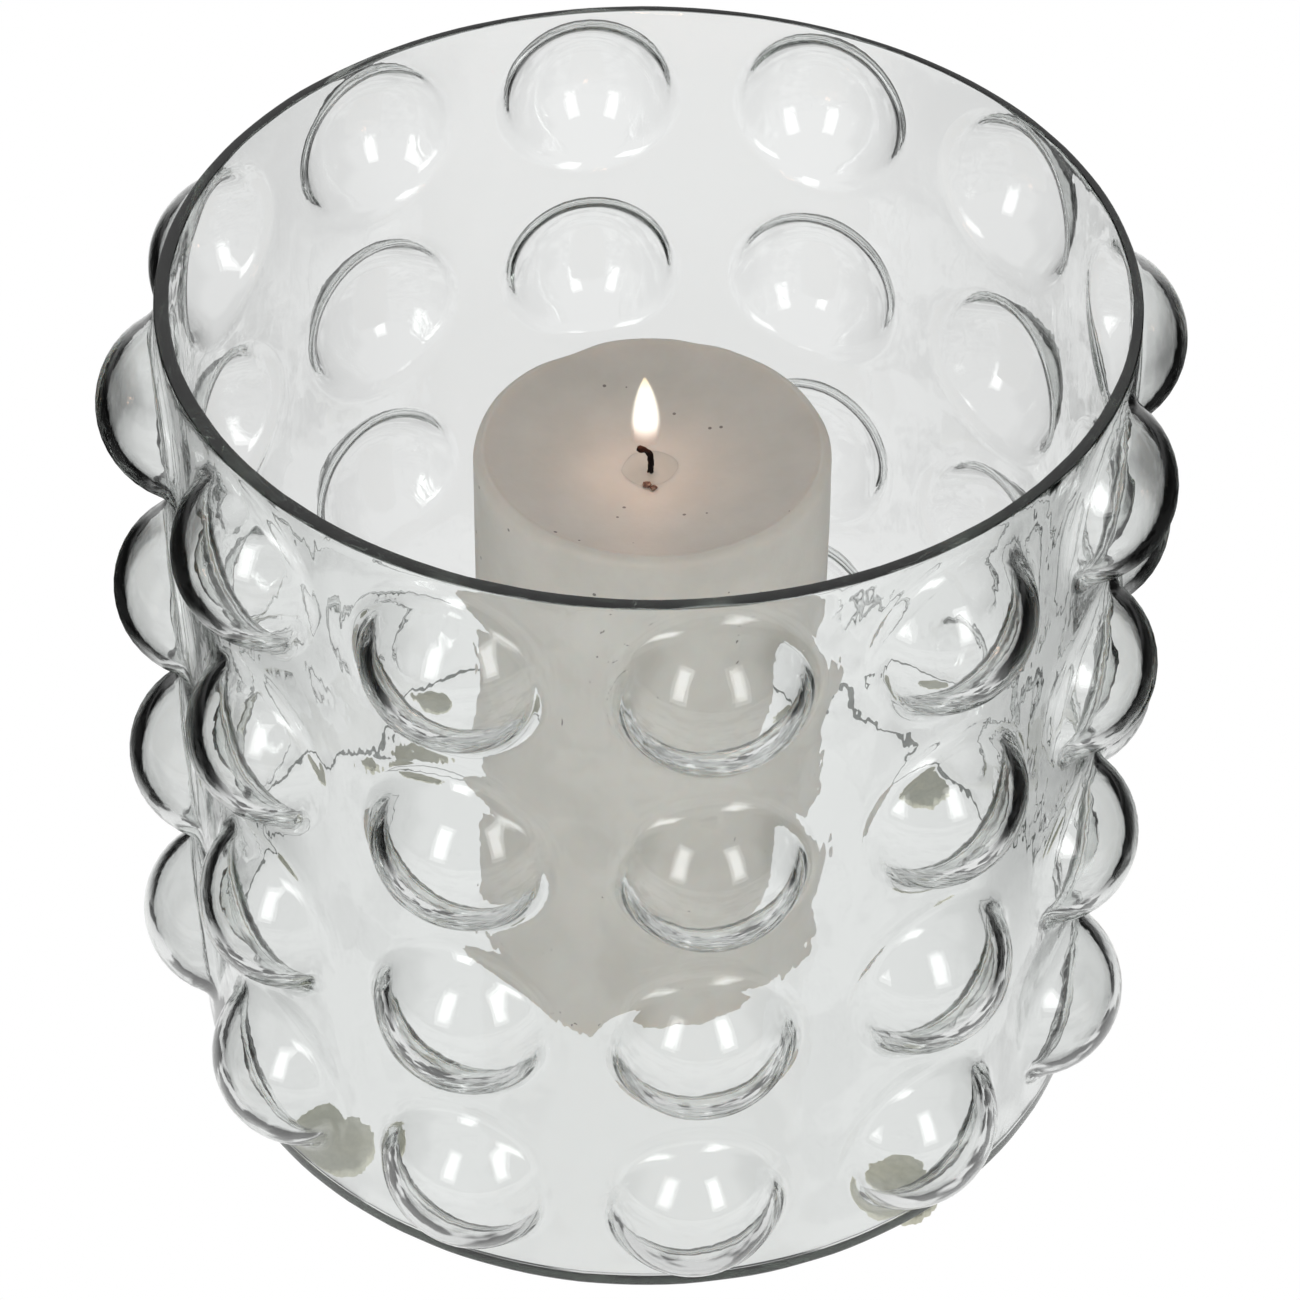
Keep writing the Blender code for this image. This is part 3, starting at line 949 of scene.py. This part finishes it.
# ---- the pads -------------------------------------------------------------------
def make_pads():
    mat = pad_material()
    for name in ("pad_front_left", "pad_front_right", "pad_back_right", "pad_back_left"):
        low, high = [Vector(v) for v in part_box(name)]
        cx, cy = (low.x + high.x) / 2, (low.y + high.y) / 2
        r, h = (high.x - low.x) / 2, high.z - low.z
        profile = [(0.0, h)] + [(r * t, h) for t in (0.2, 0.4, 0.6, 0.8)]
        profile += arc(r - 0.0007, h - 0.0007, 0.0007, 90.0, 0.0, 5)
        profile += arc(r - 0.0005, 0.0005, 0.0005, 0.0, -90.0, 4)
        profile += [(r * t, 0.0) for t in (0.8, 0.6, 0.4, 0.2)] + [(0.0, 0.0)]
        pad = lathe(name + "_fine", profile, 160, (cx, cy, low.z))
        for v in pad.data.vertices:
            x, y = v.co.x - cx, v.co.y - cy
            d = math.hypot(x, y)
            if d > r * 0.55:
                # a torn outline, the same at every height, with a few deeper bites
                edge = (cx * 9.0 + x / d, cy * 9.0 + y / d, 0.0)
                torn = 0.07 * abs(ripple(edge, 9.0, 3.0)) + 0.13 * abs(ripple(edge, 3.1, 5.0))
                torn += 0.24 * max(0.0, ripple(edge, 1.5, 7.0) - 0.10)
                torn += 0.07 * (name == "pad_front_right")
                torn += 0.01 * abs(ripple((x, y, v.co.z), 400.0, 3.0))
                k = 1.0 - torn * smooth_step((d / r - 0.55) / 0.45)
                v.co.x, v.co.y = cx + x * k, cy + y * k
        pad.data.materials.append(mat)
        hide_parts(name)
        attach(pad, "glass_body")


# ---- floor, lights --------------------------------------------------------------
def calc(tree, operation, a, b=0.0, c=None):
    made = tree.nodes.new("ShaderNodeMath")
    made.operation = operation
    for socket, value in zip(made.inputs, (a, b, c)):
        if value is None:
            continue
        if isinstance(value, bpy.types.NodeSocket):
            tree.links.new(value, socket)
        else:
            socket.default_value = value
    return made.outputs[0]


def between(tree, value, low, high, at_low, at_high):
    made = tree.nodes.new("ShaderNodeMapRange")
    made.interpolation_type = "SMOOTHSTEP"
    made.inputs["From Min"].default_value = low
    made.inputs["From Max"].default_value = high
    made.inputs["To Min"].default_value = at_low
    made.inputs["To Max"].default_value = at_high
    tree.links.new(value, made.inputs["Value"])
    return made.outputs["Result"]


def along(tree, vector, direction):
    made = tree.nodes.new("ShaderNodeVectorMath")
    made.operation = "DOT_PRODUCT"
    made.inputs[1].default_value = direction
    tree.links.new(vector, made.inputs[0])
    return made.outputs["Value"]


def by_path(tree, seen, clear, turned_back, led_far, soft):
    """What a ray finds in the studio: a white sweep straight on or through glass, the
    strip of paper between dark sides once it has been mirrored, a darker and streaky
    one where it was mirrored inside the glass, and a dim room for the soft light that
    falls on matt surfaces."""
    path = tree.nodes.new("ShaderNodeLightPath")
    mirrored = calc(tree, "GREATER_THAN", path.outputs["Glossy Depth"], 0.5)
    led = calc(tree, "GREATER_THAN", path.outputs["Transmission Depth"], 0.5)
    scattered = calc(tree, "GREATER_THAN", path.outputs["Diffuse Depth"], 0.5)

    def choose(flag, yes, no):
        made = tree.nodes.new("ShaderNodeMix")
        made.data_type = "FLOAT"
        for socket, value in ((made.inputs[0], flag), (made.inputs[2], no), (made.inputs[3], yes)):
            if isinstance(value, bpy.types.NodeSocket):
                tree.links.new(value, socket)
            else:
                socket.default_value = value
        return made.outputs[0]

    glass = choose(mirrored, choose(led, led_far, turned_back), clear)
    rest = choose(scattered, soft, glass)
    return choose(path.outputs["Is Camera Ray"], seen, rest)


SIDE_ON = (math.cos(math.radians(-7.7)), math.sin(math.radians(-7.7)), 0.0)
STRAIGHT_ON = (math.sin(math.radians(7.7)), math.cos(math.radians(7.7)), 0.0)


def flag_free(tree, turn):
    """Black flags stand at either side, from a little in front of the object to half
    way round behind it: 0 towards a flag, 1 clear of it. turn is the angle behind
    straight sideways."""
    before = between(tree, turn, math.radians(-30), math.radians(-12), 1.0, 0.0)
    behind = between(tree, turn, math.radians(46), math.radians(62), 0.0, 1.0)
    return calc(tree, "MAXIMUM", before, behind)


def streaks(tree, turn, log_reach):
    """1 with darker patches, in polar measure, so that they are alike near and far."""
    spot = tree.nodes.new("ShaderNodeCombineXYZ")
    tree.links.new(calc(tree, "MULTIPLY", turn, 2.2), spot.inputs[0])
    tree.links.new(calc(tree, "MULTIPLY", log_reach, 3.4), spot.inputs[1])
    spot.inputs[2].default_value = 0.37
    patch = node(tree, "ShaderNodeTexNoise", Scale=1.5, Detail=2.0, Roughness=0.55)
    tree.links.new(spot.outputs[0], patch.inputs["Vector"])
    return between(tree, patch.outputs["Fac"], 0.41, 0.49, 0.10, 1.0)


def make_studio():
    scene = bpy.context.scene
    bm = bmesh.new()
    bmesh.ops.create_circle(bm, cap_ends=True, radius=3.0, segments=96)
    mesh = bpy.data.meshes.new("studio_floor")
    bm.to_mesh(mesh)
    bm.free()
    floor = bpy.data.objects.new("studio_floor", mesh)
    floor.location = (0.0, 0.0, -0.0002)
    scene.collection.objects.link(floor)
    mat, tree, shader = material("studio_floor")
    spot = tree.nodes.new("ShaderNodeTexCoord").outputs["Object"]
    side = calc(tree, "ABSOLUTE", along(tree, spot, SIDE_ON))
    depth = along(tree, spot, STRAIGHT_ON)
    reach = calc(tree, "SQRT", calc(tree, "ADD", calc(tree, "POWER", side, 2.0), calc(tree, "MULTIPLY", depth, depth)))
    turn = calc(tree, "ARCTAN2", depth, side)
    open_side = flag_free(tree, turn)
    near = between(tree, reach, 0.12, 0.17, 1.0, 0.0)
    under = between(tree, reach, 0.205, 0.265, 1.0, 0.0)
    far = between(tree, reach, 0.60, 1.30, 0.0, 0.30)
    free = calc(tree, "MAXIMUM", calc(tree, "MAXIMUM", open_side, near), far)
    bright = calc(tree, "MAXIMUM", calc(tree, "MAXIMUM", open_side, under), far)
    strip = calc(tree, "MULTIPLY_ADD", free, 0.93, 0.015)
    # light that was led round the foot of a bubble meets the flags sooner, the dark
    # front of the table and, by the way, whatever else stands about the studio
    log_reach = calc(tree, "LOGARITHM", calc(tree, "MAXIMUM", reach, 0.01), 2.718)
    front = calc(tree, "MULTIPLY", between(tree, turn, math.radians(-72), math.radians(-52), 0.20, 0.0), between(tree, reach, 0.24, 0.38, 1.0, 0.0))
    flank = between(tree, turn, math.radians(-46), math.radians(-24), 0.0, 0.80)
    flank = calc(tree, "MULTIPLY", flank, between(tree, reach, 0.22, 0.36, 0.0, 1.0))
    led = calc(tree, "MULTIPLY", calc(tree, "SUBTRACT", 1.0, front), calc(tree, "SUBTRACT", 1.0, flank))
    led = calc(tree, "MULTIPLY", calc(tree, "MULTIPLY", led, streaks(tree, turn, log_reach)), calc(tree, "MULTIPLY", strip, between(tree, along(tree, spot, SIDE_ON), 0.05, 0.20, 0.88, 1.0)))
    strip = calc(tree, "MULTIPLY", strip, between(tree, depth, -0.26, -0.16, 1.75, 1.05))
    clear = calc(tree, "ADD", 0.84, between(tree, depth, 0.20, 0.30, 0.0, 0.04))
    clear = calc(tree, "MULTIPLY", clear, between(tree, side, 0.04, 0.09, 1.0, 0.92))
    hidden = calc(tree, "MULTIPLY", calc(tree, "SUBTRACT", 1.0, bright), 0.62)
    hidden = calc(tree, "MULTIPLY", hidden, between(tree, reach, 0.40, 0.62, 1.0, 0.0))
    clear = calc(tree, "MULTIPLY", clear, calc(tree, "SUBTRACT", 1.0, hidden))
    lit = tree.nodes.new("ShaderNodeEmission")
    lit.inputs["Color"].default_value = (1.0, 1.0, 1.0, 1.0)
    tree.links.new(by_path(tree, 1.0, clear, strip, led, SOFT_FLOOR), lit.inputs["Strength"])
    out = tree.nodes["Material Output"]
    tree.links.new(lit.outputs["Emission"], out.inputs["Surface"])
    floor.data.materials.append(mat)

    world = bpy.data.worlds.new("studio")
    scene.world = world
    world.use_nodes = True
    wt = world.node_tree
    back = wt.nodes["Background"]
    toward = wt.nodes.new("ShaderNodeTexCoord").outputs["Generated"]
    side = calc(wt, "ABSOLUTE", along(wt, toward, SIDE_ON))
    ahead = along(wt, toward, STRAIGHT_ON)
    up = along(wt, toward, (0.0, 0.0, 1.0))
    turn = calc(wt, "ARCTAN2", ahead, side)
    over = between(wt, up, 0.42, 0.66, 0.0, 1.0)
    free = calc(wt, "MAXIMUM", flag_free(wt, turn), over)
    sweep = calc(wt, "MULTIPLY_ADD", free, 0.76, 0.04)
    clear = calc(wt, "MULTIPLY", between(wt, up, 0.55, 0.90, 0.95, 0.20), between(wt, side, 0.35, 0.75, 1.0, 0.80))
    back.inputs["Color"].default_value = (1.0, 1.0, 1.0, 1.0)
    wt.links.new(by_path(wt, 0.97, clear, sweep, calc(wt, "MULTIPLY", sweep, 0.90), SOFT_ROOM), back.inputs["Strength"])

    camera = scene.camera
    basis = camera.matrix_world.to_3x3()
    toward = basis @ Vector((0.0, 0.0, 1.0))
    target = Vector((0.0, 0.0, 0.09))

    def softbox(name, side, lift, distance, wide, tall, power, colour=(1.0, 1.0, 1.0)):
        """side and lift are degrees from the viewing direction, as seen from the object."""
        up = basis @ Vector((0.0, 1.0, 0.0))
        across = basis @ Vector((1.0, 0.0, 0.0))
        direction = Matrix.Rotation(math.radians(side), 3, up) @ toward
        direction = Matrix.Rotation(math.radians(-lift), 3, across) @ direction
        data = bpy.data.lights.new(name, "AREA")
        data.shape = "RECTANGLE"
        data.size, data.size_y = wide, tall
        data.energy = power
        data.color = colour
        lamp = bpy.data.objects.new(name, data)
        scene.collection.objects.link(lamp)
        lamp.location = target + direction.normalized() * distance
        lamp.rotation_euler = (target - lamp.location).to_track_quat("-Z", "Y").to_euler()
        return lamp

    for name, side in (("left", -29.0), ("right", 29.0)):
        softbox("strip_" + name, side, -16.0, 1.25, 0.23, 0.66, 1.25).visible_diffuse = False
        softbox("halo_" + name, side, -16.0, 1.27, 0.38, 0.88, 2.2).visible_diffuse = False
    scene.view_settings.view_transform = "Standard"
    scene.view_settings.look = "None"
    scene.cycles.max_bounces = 34
    scene.cycles.transmission_bounces = 30
    scene.cycles.glossy_bounces = 28
    scene.cycles.transparent_max_bounces = 20


make_camera()
make_studio()
make_glass()
make_candle()
make_wick()
make_flame()
make_pads()

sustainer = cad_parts["wick_sustainer"]
sustainer = sustainer if hasattr(sustainer, "data") else bpy.data.objects["wick_sustainer"]
if sustainer.material_slots:
    sustainer.material_slots[0].material = tin_material()
else:
    sustainer.data.materials.append(tin_material())
